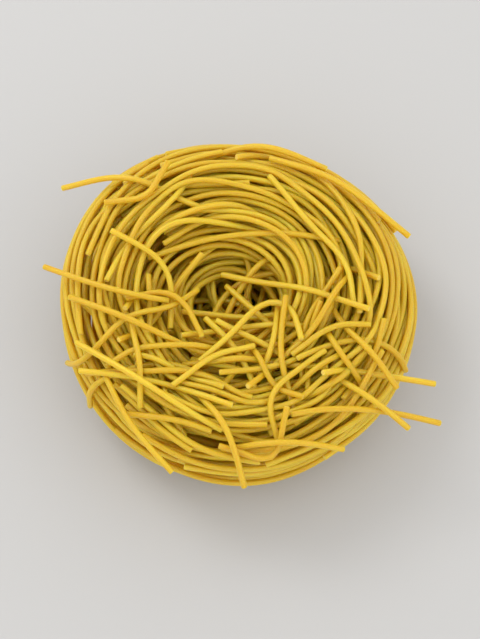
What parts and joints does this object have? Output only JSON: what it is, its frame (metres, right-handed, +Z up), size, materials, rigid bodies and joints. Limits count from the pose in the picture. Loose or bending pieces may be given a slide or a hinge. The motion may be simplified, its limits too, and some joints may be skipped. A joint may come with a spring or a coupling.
{
  "type": "dry pasta nest",
  "caption": "Nest of thin round dried noodles, wound into a low ring with a hollow on top and stray ends that stick out.",
  "frame": {"origin": "middle of the flat foot on the underside", "axes": "+Z up, out of the hollow on top; +X to the right in the picture and +Y towards its upper edge"},
  "size_m": [0.0907, 0.0865, 0.0378],
  "materials": {
    "durum_pasta": null
  },
  "bodies": {
    "root": {"pasta_nest": "durum_pasta"}
  },
  "joints": []
}
